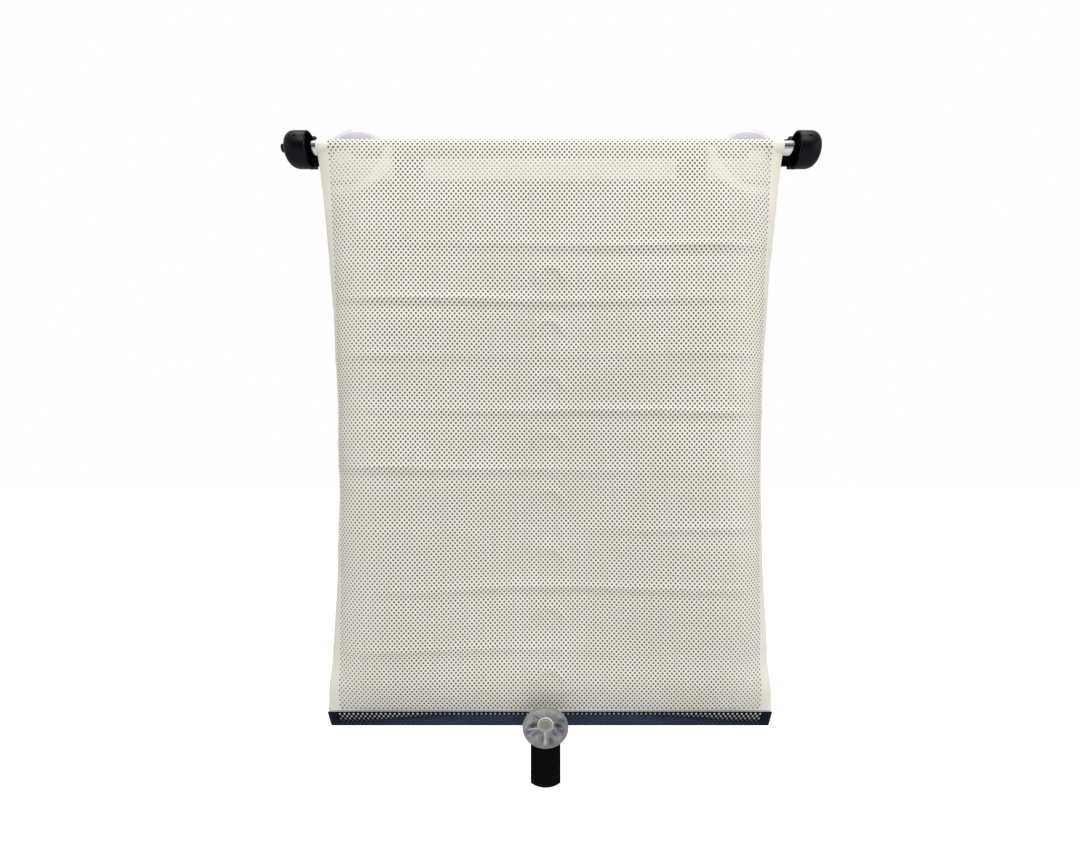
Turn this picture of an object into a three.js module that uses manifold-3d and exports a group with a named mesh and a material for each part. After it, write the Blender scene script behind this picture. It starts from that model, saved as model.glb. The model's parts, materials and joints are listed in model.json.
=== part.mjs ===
// Spring roller sunshade for a car's side window.
// Millimetres. +X to the viewer's right, +Y towards the glass, +Z up.
// The origin is on the glass, level with the roller's axis, behind the middle of the film.

import * as THREE from 'three';
import { mergeVertices } from 'three/addons/utils/BufferGeometryUtils.js';
import Module from 'manifold-3d';

const wasm = await Module();
wasm.setup();

// Driving dimensions

const gap = 0.3; // clearance between pieces that touch
const roundSides = 32;
const smallSides = 24;

const film = { width: 402, thickness: 0.5, across: 22, down: 20 };
// The hanging film swings back to the glass, bulges forward beside its middle and curls back at its edges.
const hang = {
	settles: 0.84, bulge: 15.9, bulgePower: 1.87, crestShare: 0.775,
	curlDegrees: 75, curlPower: 1.4, curlFade: 0.565,
};

const roller = { axisY: - 26, tubeRadius: 6.1, tubeWall: 0.5, turnsThickness: 0.4, endInset: 3.5 };
const hardware = { offsetX: 2.2, beyondFilm: 29.1 }; // the hardware's middle lies right of the film's
const cap = { radius: 15, length: 20, wall: 1.8, round: 9, drop: 1.5 };
const socket = { reach: 8, depth: 6.5, front: 2.1, back: 2, above: 1.8 }; // pocket for the rail's end

const rail = { back: - 11, thickness: 2, bottom: - 8.5, top: 15, entryRadius: 8.8, entryOffset: 15 };
const strip = { height: 19.7, thickness: 1, endInset: 27.1 };
const clip = { width: 26, endInset: 109.1, leg: 2, above: 4, below: 1.6 };

const topCup = {
	radius: 30, endInset: 51.8, z: 1.5, lip: 1.2, lipWidth: 3, hollow: 5,
	hub: 7, neck: 3.6, head: 8.5, headThick: 2,
};
const hemCup = {
	radius: 20.5, x: - 4, z: - 505.8, lip: 0.9, lipWidth: 1.2, hollow: 5.9,
	hub: 7, neck: 1.8, head: 4.6, headThick: 1.2, tiltDegrees: 8.5, standOff: 2.4,
};

const hub = { radius: 3, base: 5.2, baseLength: 10, length: 17.7 }; // left cap's bearing for the roller
const button = { radius: 3.5, proud: 4.8, seat: 3.5 };
const pin = { half: 1.3, depth: 3, headRadius: 2.2, headLength: 1.2 }; // from the button to the brake disc
const brake = { thickness: 2, springRadius: 2.9, wire: 0.25, turns: 3 };
const plug = { flange: 9.5, flangeThick: 1.7, spigot: 13.5, recess: 4.5, lip: 1.8, rightBearing: 12 };
const mandrel = { radius: 1.8, squareHalf: 1.6, seat: 3.3, squareEnd: 13, length: 190, socketLength: 12 };
const collar = { radius: 4.2, from: 31, length: 4 };
const spring = { radius: 4, wire: 0.45, turns: 10 };
const anchor = { length: 12, tip: 4 };

const hem = { y: - 5, thickness: 4, wall: 0.5, height: 12.8, overhang: - 0.5, taper: 3.5, top: - 498.1 };
const bar = { thickness: 1, edge: 0.8, endInset: 6 };
const tab = { width: 27, thickness: 1.1, headWidth: 34, headHeight: 7, bottom: - 568, corner: 4.5, x: - 4 };

// Sizes worked out from them

const innerTube = roller.tubeRadius - roller.tubeWall;
const spigotRadius = innerTube - gap;
const turnsInner = roller.tubeRadius + gap;
const turnsOuter = turnsInner + roller.turnsThickness;
const hangY = roller.axisY - turnsOuter - gap - film.thickness / 2; // where the film leaves the roller
const halfFilm = film.width / 2;
const crest = halfFilm * hang.crestShare;
const halfLength = halfFilm + hardware.beyondFilm;
const leftEnd = hardware.offsetX - halfLength;
const rightEnd = hardware.offsetX + halfLength;
const railFront = rail.back - rail.thickness;
const railMiddle = rail.back - rail.thickness / 2;
const tubeEnd = cap.length - roller.endInset; // from a cap's outer face
const flangeFrom = tubeEnd - gap - plug.flangeThick;
const discFrom = flangeFrom + plug.flangeThick + plug.lip + gap;
const pocketEnd = hub.baseLength - 1; // floor of the button's pocket
const hemTopHalf = halfFilm + hem.overhang;
const hemBottomHalf = hemTopHalf - hem.taper;

const plastic = { color: 0x0c0d11, roughness: 0.42, metalness: 0 };
const chrome = { color: 0xc9cbce, roughness: 0.12, metalness: 1 };
const steel = { color: 0x8d9094, roughness: 0.35, metalness: 1 };
const clearVinyl = { color: 0xd9dce2, roughness: 0.1, metalness: 0 };
const cream = { color: 0xe6e1d6, roughness: 0.55, metalness: 0 };
const navy = { color: 0x1b2338, roughness: 0.6, metalness: 0 };
const paleStrip = { color: 0xe9e7e2, roughness: 0.5, metalness: 0 };

// Geometry helpers

function signedVolume( position, triangles ) {

	const a = new THREE.Vector3();
	const b = new THREE.Vector3();
	const c = new THREE.Vector3();
	let volume = 0;
	for ( let i = 0; i < triangles.length; i += 3 ) {

		a.fromBufferAttribute( position, triangles[ i ] );
		b.fromBufferAttribute( position, triangles[ i + 1 ] );
		c.fromBufferAttribute( position, triangles[ i + 2 ] );
		volume += a.dot( b.cross( c ) ) / 6;

	}

	return volume;

}

// A closed geometry as a solid with its faces pointing out
function solid( geometry ) {

	geometry.deleteAttribute( 'normal' );
	geometry.deleteAttribute( 'uv' );
	const merged = mergeVertices( geometry, 1e-4 );
	const corners = merged.index.array;
	const triangles = [];
	for ( let i = 0; i < corners.length; i += 3 ) {

		const [ a, b, c ] = [ corners[ i ], corners[ i + 1 ], corners[ i + 2 ] ];
		if ( a !== b && b !== c && c !== a ) triangles.push( a, b, c );

	}

	if ( signedVolume( merged.attributes.position, triangles ) < 0 ) triangles.reverse();
	const vertProperties = new Float32Array( merged.attributes.position.array );
	const triVerts = new Uint32Array( triangles );
	return new wasm.Manifold( new wasm.Mesh( { numProp: 3, vertProperties, triVerts } ) );

}

function geometryOf( body ) {

	const mesh = body.getMesh();
	const positions = new Float32Array( mesh.vertProperties );
	const geometry = new THREE.BufferGeometry();
	geometry.setAttribute( 'position', new THREE.BufferAttribute( positions, 3 ) );
	geometry.setIndex( new THREE.BufferAttribute( new Uint32Array( mesh.triVerts ), 1 ) );
	return geometry;

}

// A profile of [ distance along the axis, radius ] pairs turned about Y
function turned( profile, sides = roundSides ) {

	const points = profile.map( ( [ along, radius ] ) => new THREE.Vector2( radius, along ) );
	return new THREE.LatheGeometry( points, sides );

}

// The same, with the axis along X
function turnedX( profile, sides = roundSides ) {

	return turned( profile, sides ).rotateZ( - Math.PI / 2 );

}

function ringX( from, to, inner, outer, sides = roundSides ) {

	const section = [ [ from, inner ], [ from, outer ], [ to, outer ], [ to, inner ], [ from, inner ] ];
	return turnedX( section, sides );

}

function rodX( from, to, radius, sides = smallSides ) {

	return turnedX( [ [ from, 0 ], [ from, radius ], [ to, radius ], [ to, 0 ] ], sides );

}

function box( [ x0, y0, z0 ], [ x1, y1, z1 ] ) {

	const geometry = new THREE.BoxGeometry( x1 - x0, y1 - y0, z1 - z0 );
	return geometry.translate( ( x0 + x1 ) / 2, ( y0 + y1 ) / 2, ( z0 + z1 ) / 2 );

}

// A square bar about the X axis
function squareX( from, to, half ) {

	return box( [ from, - half, - half ], [ to, half, half ] );

}

function arc( centre, radius, fromDegrees, toDegrees, steps ) {

	const points = [];
	for ( let i = 0; i <= steps; i ++ ) {

		const angle = THREE.MathUtils.degToRad( fromDegrees + ( toDegrees - fromDegrees ) * i / steps );
		points.push( [ centre[ 0 ] + radius * Math.cos( angle ), centre[ 1 ] + radius * Math.sin( angle ) ] );

	}

	return points;

}

// A coil about the X axis
function coilX( from, to, radius, wire, turns ) {

	class Helix extends THREE.Curve {

		getPoint( t, target = new THREE.Vector3() ) {

			const angle = t * turns * 2 * Math.PI;
			const x = from + ( to - from ) * t;
			return target.set( x, radius * Math.cos( angle ), radius * Math.sin( angle ) );

		}

	}

	const corners = arc( [ 0, 0 ], wire, 0, 300, 5 ).map( ( [ x, y ] ) => new THREE.Vector2( x, y ) );
	const section = new THREE.Shape( corners );
	return new THREE.ExtrudeGeometry( section, { steps: turns * 12, extrudePath: new Helix() } );

}

// Placing a piece built outward-in from a cap's outer face: side -1 is the left cap, +1 the right one
function atEnd( geometry, side ) {

	if ( side > 0 ) geometry.scale( - 1, 1, 1 );
	return geometry.translate( side < 0 ? leftEnd : rightEnd, roller.axisY, 0 );

}

const shade = new THREE.Group();

function add( name, body, look ) {

	const mesh = new THREE.Mesh( geometryOf( body ), new THREE.MeshStandardMaterial( look ) );
	mesh.name = name;
	shade.add( mesh );
	return mesh;

}

// Rail with its strip and clips

function makeRail() {

	const end = halfLength - cap.length + socket.depth - gap;
	const cutFront = railFront - 1;
	const cutBack = rail.back + 1;
	const rod = ( radius, x ) => {

		const cutter = turned( [ [ cutFront, 0 ], [ cutFront, radius ], [ cutBack, radius ], [ cutBack, 0 ] ] );
		return solid( cutter.translate( x, 0, topCup.z ) );

	};

	let plate = solid( box(
		[ hardware.offsetX - end, railFront, rail.bottom ],
		[ hardware.offsetX + end, rail.back, rail.top ],
	) );
	for ( const side of [ - 1, 1 ] ) {

		// keyhole: the cup's head enters the wide end and its neck slides outward along the slot
		const x = hardware.offsetX + side * ( halfLength - topCup.endInset );
		const entryX = x - side * rail.entryOffset;
		const slotHalf = topCup.neck + gap;
		plate = plate.subtract( rod( slotHalf, x ) );
		plate = plate.subtract( rod( rail.entryRadius, entryX ) );
		plate = plate.subtract( solid( box(
			[ Math.min( x, entryX ), cutFront, topCup.z - slotHalf ],
			[ Math.max( x, entryX ), cutBack, topCup.z + slotHalf ],
		) ) );

	}

	add( 'back_rail', plate, plastic );

}

function makeStrip() {

	const top = rail.bottom - gap;
	const half = halfLength - strip.endInset;
	add( 'backing_strip', solid( box(
		[ hardware.offsetX - half, railMiddle - strip.thickness / 2, top - strip.height ],
		[ hardware.offsetX + half, railMiddle + strip.thickness / 2, top ],
	) ), paleStrip );

}

// A U that grips the rail's lower edge and the strip below it
function makeClip( name, side ) {

	const x = hardware.offsetX + side * ( halfLength - clip.endInset );
	const low = rail.bottom - gap - strip.height - gap;
	const high = rail.bottom + clip.above;
	const outer = solid( box(
		[ x - clip.width / 2, railFront - gap - clip.leg, low - clip.below ],
		[ x + clip.width / 2, rail.back + gap + clip.leg, high ],
	) );
	const inner = solid( box(
		[ x - clip.width, railFront - gap, low ],
		[ x + clip.width, rail.back + gap, high + 1 ],
	) );
	add( name, outer.subtract( inner ), plastic );

}

// Suction cups

// Profile from the lip's flat face at 0 to the head of the knob, along the cup's axis
function cupProfile( size, neckEnd, hubEnd ) {

	const flat = size.radius - size.lipWidth;
	return [
		[ size.hollow, 0 ],
		[ size.hollow, size.hub - 2 ],
		[ size.hollow * 0.8, size.radius * 0.45 ],
		[ size.hollow * 0.42, size.radius * 0.72 ],
		[ 0, flat ],
		[ 0, size.radius ],
		[ size.lip, size.radius ],
		[ size.lip + size.hollow * 0.42, size.radius * 0.76 ],
		[ size.lip + size.hollow * 0.86, size.radius * 0.48 ],
		[ size.lip + size.hollow, size.hub ],
		[ hubEnd, size.hub ],
		[ hubEnd, size.neck ],
		[ neckEnd, size.neck ],
		[ neckEnd, size.head ],
		[ neckEnd + size.headThick * 0.45, size.head ],
		[ neckEnd + size.headThick, size.head * 0.6 ],
		[ neckEnd + size.headThick, 0 ],
	];

}

function makeTopCup( name, side ) {

	const profile = cupProfile( topCup, - railFront + gap, - rail.back - gap );
	const body = turned( profile ).rotateX( Math.PI );
	const x = hardware.offsetX + side * ( halfLength - topCup.endInset );
	add( name, solid( body.translate( x, 0, topCup.z ) ), clearVinyl );

}

const hemFront = hem.y - hem.thickness / 2;
const hemBack = hem.y + hem.thickness / 2;
const hubToHem = hemCup.hollow + hemCup.lip + hemCup.standOff;

// The cup's axis, tilted to face down, crosses the hem's middle at the cup's z
function placeHemCup( geometry ) {

	const tilt = THREE.MathUtils.degToRad( hemCup.tiltDegrees );
	const hubLean = hemCup.hub * Math.tan( tilt ) + gap;
	const toMiddle = hubToHem + ( hem.thickness / 2 + hubLean ) / Math.cos( tilt );
	return geometry.translate( 0, - toMiddle, 0 ).rotateX( tilt ).translate( hemCup.x, hem.y, hemCup.z );

}

function makeHemCup() {

	const tilt = THREE.MathUtils.degToRad( hemCup.tiltDegrees );
	const leans = ( hemCup.hub + hemCup.head ) * Math.tan( tilt );
	const neckEnd = hubToHem + ( hem.thickness + leans + 2 * gap ) / Math.cos( tilt );
	const body = turned( cupProfile( hemCup, neckEnd, hubToHem ) );
	add( 'bottom_suction_cup', solid( placeHemCup( body ) ), clearVinyl );

}

// A round hole through the hem for the tilted neck
function neckHole() {

	const tilt = THREE.MathUtils.degToRad( hemCup.tiltDegrees );
	const radius = hemCup.neck / Math.cos( tilt ) + hem.thickness / 2 * Math.tan( tilt ) + gap;
	const reach = hem.thickness;
	const hole = turned( [ [ - reach, 0 ], [ - reach, radius ], [ reach, radius ], [ reach, 0 ] ], smallSides );
	return solid( hole.translate( hemCup.x, hem.y, hemCup.z ) );

}

// End caps and their inner works

function capShell() {

	const { radius, wall, round, length } = cap;
	const centre = [ round, radius - round ];
	return solid( turnedX( [
		[ 0, 0 ],
		...arc( centre, round, 180, 90, 6 ),
		[ length, radius ],
		[ length, radius - wall ],
		...arc( centre, round - wall, 90, 180, 4 ),
		[ wall, 0 ],
	] ).translate( 0, 0, - cap.drop ) );

}

// The cap's shell with a block behind it that takes the rail's end
function capWithSocket() {

	const front = railFront - roller.axisY;
	const back = rail.back - roller.axisY;
	const block = solid( box(
		[ cap.length - socket.reach, front - socket.front, rail.bottom - socket.above ],
		[ cap.length, back + socket.back, rail.top + socket.above ],
	) );
	const pocket = solid( box(
		[ cap.length - socket.depth, front - gap, rail.bottom - gap ],
		[ cap.length + 1, back + gap, rail.top + gap ],
	) );
	return capShell().add( block ).subtract( pocket );

}

function makeLeftCap() {

	const bearing = solid( turnedX( [
		[ cap.wall / 2, 0 ],
		[ cap.wall / 2, hub.base ],
		[ hub.baseLength, hub.base ],
		[ hub.baseLength, hub.radius ],
		[ hub.length, hub.radius ],
		[ hub.length, 0 ],
	], smallSides ) );
	const buttonBore = solid( rodX( - 1, pocketEnd, button.radius + gap ) );
	const pinBore = solid( squareX( pocketEnd - 1, hub.length + 1, pin.half + gap ) );
	const body = capWithSocket().add( bearing ).subtract( buttonBore ).subtract( pinBore );
	add( 'left_end_cap', solid( atEnd( geometryOf( body ), - 1 ) ), plastic );

}

function makeRightCap() {

	const boss = solid( rodX( cap.wall / 2, mandrel.socketLength, hub.base ) );
	const square = solid( squareX( mandrel.seat - gap, mandrel.socketLength + 1, mandrel.squareHalf + gap ) );
	const body = capWithSocket().add( boss ).subtract( square );
	add( 'right_end_cap', solid( atEnd( geometryOf( body ), 1 ) ), plastic );

}

// Button with a square pin, which pulls the brake disc out against the plug's lip
function makeButton() {

	const head = solid( turnedX( [
		[ - button.proud, 0 ],
		[ - button.proud, button.radius - 0.8 ],
		[ 0.8 - button.proud, button.radius ],
		[ button.seat, button.radius ],
		[ button.seat, 0 ],
	], smallSides ) );
	const pinHole = solid( squareX( button.seat - pin.depth, button.seat + 1, pin.half + gap ) );
	add( 'release_button', solid( atEnd( geometryOf( head.subtract( pinHole ) ), - 1 ) ), plastic );

	const discEnd = discFrom + brake.thickness + gap;
	const shank = solid( squareX( button.seat - pin.depth + gap, discEnd + pin.headLength / 2, pin.half ) );
	const pinHead = solid( turnedX( [
		[ discEnd, 0 ],
		[ discEnd, pin.headRadius ],
		[ discEnd + pin.headLength, pin.half ],
		[ discEnd + pin.headLength, 0 ],
	], smallSides ) );
	add( 'brake_pin', solid( atEnd( geometryOf( shank.add( pinHead ) ), - 1 ) ), steel );

	const disc = solid( rodX( discFrom, discFrom + brake.thickness, plug.recess - gap ) );
	const hole = solid( squareX( discFrom - 1, discEnd, pin.half + gap ) );
	add( 'brake_disc', solid( atEnd( geometryOf( disc.subtract( hole ) ), - 1 ) ), steel );

	const from = button.seat + gap + brake.wire;
	const to = pocketEnd - gap - brake.wire;
	const coil = coilX( from, to, brake.springRadius, brake.wire, brake.turns );
	add( 'button_spring', solid( atEnd( coil, - 1 ) ), steel );

}

// Roller

function makeRoller() {

	const tube = ringX( leftEnd + tubeEnd, rightEnd - tubeEnd, innerTube, roller.tubeRadius );
	add( 'roller_tube', solid( tube.translate( 0, roller.axisY, 0 ) ), chrome );

	const turns = ringX( - halfFilm, halfFilm, turnsInner, turnsOuter );
	add( 'film_turns', solid( turns.translate( 0, roller.axisY, 0 ) ), cream );

	const flangeTo = flangeFrom + plug.flangeThick;
	const leftSpigotTo = tubeEnd + plug.spigot;
	const leftPlug = turnedX( [
		[ flangeFrom, hub.radius + gap ],
		[ flangeFrom, plug.flange ],
		[ flangeTo, plug.flange ],
		[ flangeTo, spigotRadius ],
		[ leftSpigotTo, spigotRadius ],
		[ leftSpigotTo, plug.recess ],
		[ flangeTo + plug.lip, plug.recess ],
		[ flangeTo + plug.lip, hub.radius + gap ],
		[ flangeFrom, hub.radius + gap ],
	] );
	add( 'left_end_plug', solid( atEnd( leftPlug, - 1 ) ), plastic );

	const bore = mandrel.radius + gap;
	const rightSpigotTo = tubeEnd + plug.rightBearing;
	const rightPlug = turnedX( [
		[ flangeFrom, bore ],
		[ flangeFrom, plug.flange ],
		[ flangeTo, plug.flange ],
		[ flangeTo, spigotRadius ],
		[ rightSpigotTo, spigotRadius ],
		[ rightSpigotTo, bore ],
		[ flangeFrom, bore ],
	] );
	add( 'right_end_plug', solid( atEnd( rightPlug, 1 ) ), plastic );

	const anchorFrom = mandrel.length - anchor.tip;
	const anchorBody = ringX( anchorFrom, anchorFrom + anchor.length, bore, spigotRadius, smallSides );
	add( 'spring_anchor', solid( atEnd( anchorBody, 1 ) ), plastic );

}

// Fixed rod inside the roller, with the winding spring around it
function makeMandrel() {

	const square = solid( squareX( mandrel.seat, mandrel.squareEnd, mandrel.squareHalf ) );
	const rod = solid( rodX( mandrel.squareEnd - 1, mandrel.length, mandrel.radius ) );
	const shoulder = solid( rodX( collar.from, collar.from + collar.length, collar.radius ) );
	const body = square.add( rod ).add( shoulder );
	add( 'mandrel_rod', solid( atEnd( geometryOf( body ), 1 ) ), steel );

	const from = collar.from + collar.length + gap + spring.wire;
	const to = mandrel.length - anchor.tip - gap - spring.wire;
	const coil = coilX( from, to, spring.radius, spring.wire, spring.turns );
	add( 'power_spring', solid( atEnd( coil, 1 ) ), steel );

}

// Film

function smoothstep( t ) {

	const x = Math.min( Math.max( t, 0 ), 1 );
	return x * x * ( 3 - 2 * x );

}

// Angle of the film's cross-section to the X axis, s mm from its middle and t of the way down
function filmAngle( s, t ) {

	const bulge = hang.bulge * Math.sin( Math.PI * t ** hang.bulgePower );
	if ( s < crest ) {

		return Math.atan( bulge * Math.PI / 2 / crest * Math.sin( Math.PI * s / crest ) );

	}

	const curl = THREE.MathUtils.degToRad( hang.curlDegrees ) * Math.sin( Math.PI * t ) ** hang.curlFade;
	const past = ( s - crest ) / ( halfFilm - crest );
	return - curl * past ** hang.curlPower;

}

// Places across half of the film at t: x, y and the angle there
function filmRow( t ) {

	const steps = film.across / 2;
	const fine = 16;
	const step = halfFilm / steps / fine;
	const row = [ { x: 0, forward: 0, angle: 0 } ];
	let x = 0;
	let forward = 0;
	for ( let i = 0; i < steps * fine; i ++ ) {

		const angle = filmAngle( ( i + 0.5 ) * step, Math.min( Math.max( t, 0 ), 1 ) );
		x += Math.cos( angle ) * step;
		forward += Math.sin( angle ) * step;
		if ( ( i + 1 ) % fine === 0 ) row.push( { x, forward, angle } );

	}

	return row;

}

function makeFilm() {

	const top = - gap;
	const columns = film.across + 1;
	const positions = [];
	for ( let j = 0; j <= film.down; j ++ ) {

		const t = j / film.down;
		const middleY = hangY + ( hem.y - hangY ) * smoothstep( t / hang.settles );
		const half = filmRow( t );
		const mirrored = half.slice( 1 ).reverse().map( ( { x, forward, angle } ) => (
			{ x: - x, forward, angle: - angle }
		) );
		for ( const p of [ ...mirrored, ...half ] ) {

			const y = middleY - p.forward;
			const outX = Math.sin( p.angle ) * film.thickness / 2;
			const outY = Math.cos( p.angle ) * film.thickness / 2;
			const z = top + ( hem.top + gap - top ) * t;
			positions.push( p.x - outX, y - outY, z, p.x + outX, y + outY, z );

		}

	}

	const at = ( i, j, back ) => ( j * columns + i ) * 2 + back;
	const faces = [];
	const quad = ( a, b, c, d ) => faces.push( a, b, c, a, c, d );
	for ( let j = 0; j < film.down; j ++ ) {

		for ( let i = 0; i < film.across; i ++ ) {

			quad( at( i, j, 0 ), at( i, j + 1, 0 ), at( i + 1, j + 1, 0 ), at( i + 1, j, 0 ) );
			quad( at( i, j, 1 ), at( i + 1, j, 1 ), at( i + 1, j + 1, 1 ), at( i, j + 1, 1 ) );

		}

		const right = film.across;
		quad( at( 0, j, 0 ), at( 0, j, 1 ), at( 0, j + 1, 1 ), at( 0, j + 1, 0 ) );
		quad( at( right, j, 0 ), at( right, j + 1, 0 ), at( right, j + 1, 1 ), at( right, j, 1 ) );

	}

	for ( let i = 0; i < film.across; i ++ ) {

		const low = film.down;
		quad( at( i, 0, 0 ), at( i + 1, 0, 0 ), at( i + 1, 0, 1 ), at( i, 0, 1 ) );
		quad( at( i, low, 0 ), at( i, low, 1 ), at( i + 1, low, 1 ), at( i + 1, low, 0 ) );

	}

	const geometry = new THREE.BufferGeometry();
	geometry.setAttribute( 'position', new THREE.Float32BufferAttribute( positions, 3 ) );
	geometry.setIndex( faces );
	add( 'shade_film', solid( geometry ), cream );

}

// Hem, its bar and the pull tab

function prismAlongY( corners, front, back ) {

	const shape = new THREE.Shape( corners.map( ( [ x, z ] ) => new THREE.Vector2( x, z ) ) );
	const geometry = new THREE.ExtrudeGeometry( shape, { depth: back - front, bevelEnabled: false } );
	return geometry.rotateX( Math.PI / 2 ).translate( 0, back, 0 );

}

const hemBottom = hem.top - hem.height;
const tabBack = hemBack - hem.wall - gap;
const tabFront = tabBack - tab.thickness;

function makeHem() {

	const outline = [
		[ - hemTopHalf, hem.top ],
		[ hemTopHalf, hem.top ],
		[ hemBottomHalf, hemBottom ],
		[ - hemBottomHalf, hemBottom ],
	];
	const outer = solid( prismAlongY( outline, hemFront, hemBack ) );
	const hollow = solid( box(
		[ - hemTopHalf - 1, hemFront + hem.wall, hemBottom + hem.wall ],
		[ hemTopHalf + 1, hemBack - hem.wall, hem.top - hem.wall ],
	) );
	const slit = solid( box(
		[ tab.x - tab.width / 2 - gap, tabFront - gap, hemBottom - 1 ],
		[ tab.x + tab.width / 2 + gap, tabBack + gap, hemBottom + hem.wall + 1 ],
	) );
	add( 'hem_sleeve', outer.subtract( hollow ).subtract( slit ).subtract( neckHole() ), navy );

	const barFront = hemFront + hem.wall + gap;
	const barHalf = hemBottomHalf - bar.endInset;
	const plate = solid( box(
		[ - barHalf, barFront, hemBottom + hem.wall + bar.edge / 2 ],
		[ barHalf, barFront + bar.thickness, hem.top - hem.wall - bar.edge ],
	) );
	add( 'hem_bar', plate.subtract( neckHole() ), steel );

}

function makeTab() {

	const half = tab.width / 2;
	const headHalf = tab.headWidth / 2;
	const headTop = hem.top - hem.wall - gap;
	const headLow = headTop - tab.headHeight;
	const sagittaRadius = ( half ** 2 + tab.corner ** 2 ) / ( 2 * tab.corner );
	const spread = THREE.MathUtils.radToDeg( Math.asin( half / sagittaRadius ) );
	const tip = arc( [ 0, tab.bottom + sagittaRadius ], sagittaRadius, - 90 + spread, - 90 - spread, 12 );
	const corners = [
		[ - headHalf, headLow ],
		[ - headHalf, headTop ],
		[ headHalf, headTop ],
		[ headHalf, headLow ],
		[ half, headLow ],
		...tip,
		[ - half, headLow ],
	];
	const strap = solid( prismAlongY( corners, tabFront, tabBack ).translate( tab.x, 0, 0 ) );
	add( 'pull_tab', strap.subtract( neckHole() ), plastic );

}

makeRail();
makeStrip();
makeClip( 'left_rail_clip', - 1 );
makeClip( 'right_rail_clip', 1 );
makeTopCup( 'left_suction_cup', - 1 );
makeTopCup( 'right_suction_cup', 1 );
makeLeftCap();
makeRightCap();
makeButton();
makeRoller();
makeMandrel();
makeFilm();
makeHem();
makeTab();
makeHemCup();

export default shade;
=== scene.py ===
import json
import math

import bpy
import numpy as np
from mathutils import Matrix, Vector


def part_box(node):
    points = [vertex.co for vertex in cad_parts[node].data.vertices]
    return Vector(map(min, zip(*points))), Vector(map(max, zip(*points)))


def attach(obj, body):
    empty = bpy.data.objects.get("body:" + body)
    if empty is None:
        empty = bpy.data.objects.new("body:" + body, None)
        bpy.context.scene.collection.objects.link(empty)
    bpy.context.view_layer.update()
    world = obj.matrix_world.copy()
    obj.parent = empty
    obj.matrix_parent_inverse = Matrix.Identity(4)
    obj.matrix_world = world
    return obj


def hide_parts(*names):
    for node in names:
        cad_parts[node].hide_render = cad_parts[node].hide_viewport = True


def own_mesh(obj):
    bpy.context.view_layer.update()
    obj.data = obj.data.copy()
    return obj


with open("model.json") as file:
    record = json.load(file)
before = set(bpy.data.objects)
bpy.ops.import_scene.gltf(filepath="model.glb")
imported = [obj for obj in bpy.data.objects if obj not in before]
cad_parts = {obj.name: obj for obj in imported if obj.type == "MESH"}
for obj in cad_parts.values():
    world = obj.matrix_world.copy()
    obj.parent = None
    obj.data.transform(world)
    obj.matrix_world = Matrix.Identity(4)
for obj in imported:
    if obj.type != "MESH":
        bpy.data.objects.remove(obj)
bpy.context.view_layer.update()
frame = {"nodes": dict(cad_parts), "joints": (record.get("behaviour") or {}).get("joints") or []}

MM = 0.001

# Film and its holes, in millimetres

FILM_WIDTH = 402.0
FILM_THICKNESS = 0.3
HOLE_PITCH = 4.13  # across a row
HOLE_ROWS = 211  # row spacings from the roller to the hem
HOLES_ACROSS = 93
HOLE_RADIUS = 0.93
HOLES_REACH = 191.5  # from the middle to the plain margin
MARGIN_STEPS = (0.4, 0.7, 1)  # columns of the margin, as shares of its width
ROLL_COVER = 0.15  # of the drawn roll over the solid one

# Where the film hangs, as the solid film does

SETTLES = 0.84
BULGE = 15.9
BULGE_POWER = 1.87
CREST = 0.775 * FILM_WIDTH / 2
CURL = math.radians(75)
CURL_POWER = 1.4
CURL_FADE = 0.565
BACK_INSET = 0.12  # from the front sheet to the back one
BACK_TOP = 2.4  # where the back sheet starts, below the roller's axis
ROLL_GAP = 0.05  # between the roll and the film that leaves it

# Marks of the roll on the film, in millimetres

CREASES = 8
FIRST_CREASE = 85.0  # below the roller
CREASE_SPACING = 45.2
CREASE_GROWTH = 0.83  # half of what the spacing grows by at each turn
CREASE_RIDGE = 1.55
CREASE_VALLEY = 0.95
CREASE_FADE = (145, 45)  # where it starts, from the middle, and its width
KNOB_DROP = 31.0  # from a crease to the knob's mark
ARCH_RADIUS = 12.5
ARCH_HEIGHT = 1.6

# Hem and its cup

HEM_SLANT = 0.0035  # of each end of the hem, in metres
HEM_CUP_Z = -505.8  # middle of the hem cup, in millimetres
HEM_CUP_TILT = math.radians(8.5)

turns_low, turns_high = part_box("film_turns")
film_low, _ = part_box("shade_film")
hem_low, hem_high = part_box("hem_sleeve")
tube_low, tube_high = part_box("roller_tube")
left_low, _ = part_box("left_end_cap")
_, right_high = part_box("right_end_cap")

ROLLER_Y = (turns_low.y + turns_high.y) / 2 / MM
ROLL_RADIUS = (turns_high.z - turns_low.z) / 2 / MM + ROLL_COVER
HANG_Y = ROLLER_Y - ROLL_RADIUS - ROLL_GAP
DROP = -film_low.z / MM
HEM_Y = (hem_low.y + hem_high.y) / 2 / MM
ROW_STEP = DROP / HOLE_ROWS
HARDWARE_X = (tube_low.x + tube_high.x) / 2 / MM

top_cup_low, top_cup_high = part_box("right_suction_cup")
hem_cup_low, hem_cup_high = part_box("bottom_suction_cup")
HEM_CUP = ((hem_cup_low.x + hem_cup_high.x) / 2, -0.5069)  # its hub's face, in X and Z

TRAVEL_JOINT = next(j for j in frame["joints"] if j["name"] == "shade_travel")
TRAVEL = TRAVEL_JOINT["range_m"][1]


# Modelling helpers

def deselect():
    if bpy.context.mode != "OBJECT":
        bpy.ops.object.mode_set(mode="OBJECT")
    bpy.ops.object.select_all(action="DESELECT")


def pick(piece):
    deselect()
    piece.select_set(True)
    bpy.context.view_layer.objects.active = piece


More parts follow.
